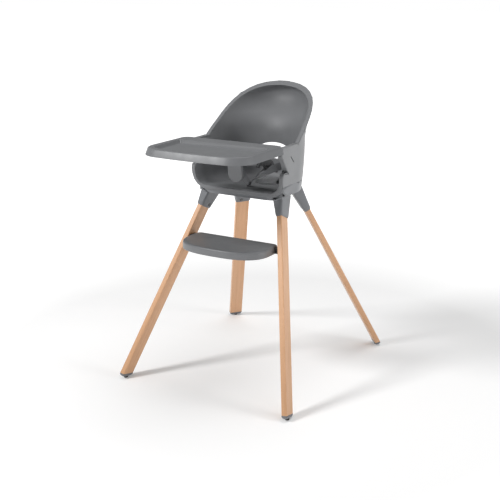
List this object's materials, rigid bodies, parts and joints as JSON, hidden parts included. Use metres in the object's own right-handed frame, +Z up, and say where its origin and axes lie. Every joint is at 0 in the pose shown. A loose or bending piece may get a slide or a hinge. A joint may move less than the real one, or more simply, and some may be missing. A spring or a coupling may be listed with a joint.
{
  "type": "baby high chair",
  "caption": "High chair with a hooded seat shell on a socketed base, splayed wooden legs, a footrest, a slide-in tray with a crotch post and a waist harness.",
  "frame": {"origin": "on the floor, under the middle of the whole chair's outline (tray front to rear feet)", "axes": "+Z up, -Y the way the child faces, +X to the right when the chair is seen from its front; left and right in the names are -X and +X"},
  "size_m": [0.6102, 0.7402, 0.9029],
  "materials": {
    "beech": "clear satin lacquer over straight-grained beech",
    "brass": "turned brass",
    "dark_plastic": "satin moulded plastic",
    "grey_plastic": "satin moulded plastic with a fine grain",
    "pad_fabric": "padded woven fabric",
    "rubber": "soft matt rubber",
    "steel": "zinc-plated steel",
    "webbing": "woven polyester webbing"
  },
  "bodies": {
    "chair": {"seat_tub": "grey_plastic", "outer_shell": "grey_plastic", "backrest": "grey_plastic", "backrest_cover": "grey_plastic", "cover_screw_1": "steel", "cover_screw_2": "steel", "cover_screw_3": "steel", "cover_screw_4": "steel", "seat_screw_1": "steel", "seat_screw_2": "steel", "seat_screw_3": "steel", "seat_screw_4": "steel", "leg_front_left": "beech", "leg_insert_front_left": "brass", "leg_bolt_front_left": "steel", "foot_cap_front_left": "grey_plastic", "foot_pad_front_left": "rubber", "leg_front_right": "beech", "leg_insert_front_right": "brass", "leg_bolt_front_right": "steel", "foot_cap_front_right": "grey_plastic", "foot_pad_front_right": "rubber", "leg_rear_left": "beech", "leg_insert_rear_left": "brass", "leg_bolt_rear_left": "steel", "foot_cap_rear_left": "grey_plastic", "foot_pad_rear_left": "rubber", "leg_rear_right": "beech", "leg_insert_rear_right": "brass", "leg_bolt_rear_right": "steel", "foot_cap_rear_right": "grey_plastic", "foot_pad_rear_right": "rubber", "leg_base": "grey_plastic", "footrest": "grey_plastic", "footrest_bracket_left": "dark_plastic", "footrest_bolt_left": "steel", "footrest_bracket_right": "dark_plastic", "footrest_bolt_right": "steel", "buckle_body": "dark_plastic", "waist_strap_left": "webbing", "strap_adjuster_left": "dark_plastic", "waist_strap_right": "webbing", "strap_adjuster_right": "dark_plastic", "crotch_strap": "webbing", "crotch_pad": "pad_fabric"},
    "tray": {"tray": "grey_plastic", "crotch_post": "grey_plastic", "crotch_post_screw_left": "steel", "crotch_post_screw_right": "steel"},
    "lock_slider": {"tray_lock_slider": "dark_plastic"},
    "latch_left": {"tray_latch_left": "dark_plastic"},
    "latch_right": {"tray_latch_right": "dark_plastic"},
    "buckle_button": {"buckle_button": "grey_plastic"},
    "tongue_left": {"buckle_tongue_left": "dark_plastic"},
    "tongue_right": {"buckle_tongue_right": "dark_plastic"}
  },
  "joints": [
    {"name": "tray_slide", "type": "slide", "parent": "chair", "child": "tray", "axis": [0, -1, 0], "range_m": [0, 0.07]},
    {"name": "lock_slider_push", "type": "slide", "parent": "tray", "child": "lock_slider", "axis": [0, 1, 0], "range_m": [0, 0.008]},
    {"name": "latch_left_slide", "type": "slide", "parent": "tray", "child": "latch_left", "axis": [1, 0, 0], "range_m": [0, 0.0024]},
    {"name": "latch_right_slide", "type": "slide", "parent": "tray", "child": "latch_right", "axis": [-1, 0, 0], "range_m": [0, 0.0024]},
    {"name": "buckle_button_press", "type": "slide", "parent": "chair", "child": "buckle_button", "axis": [-0.2197, 0.7191, -0.6592], "range_m": [0, 0.003], "stiffness_N_per_m": 800},
    {"name": "buckle_tongue_left_slide", "type": "slide", "parent": "chair", "child": "tongue_left", "axis": [-0.9753, -0.1768, 0.1322], "range_m": [0, 0.014]},
    {"name": "buckle_tongue_right_slide", "type": "slide", "parent": "chair", "child": "tongue_right", "axis": [0.9735, 0.1179, -0.1959], "range_m": [0, 0.014]}
  ],
  "couplings": [
    {"joint": "latch_left_slide", "follows": "lock_slider_push", "ratio": 0.3},
    {"joint": "latch_right_slide", "follows": "lock_slider_push", "ratio": 0.3}
  ]
}
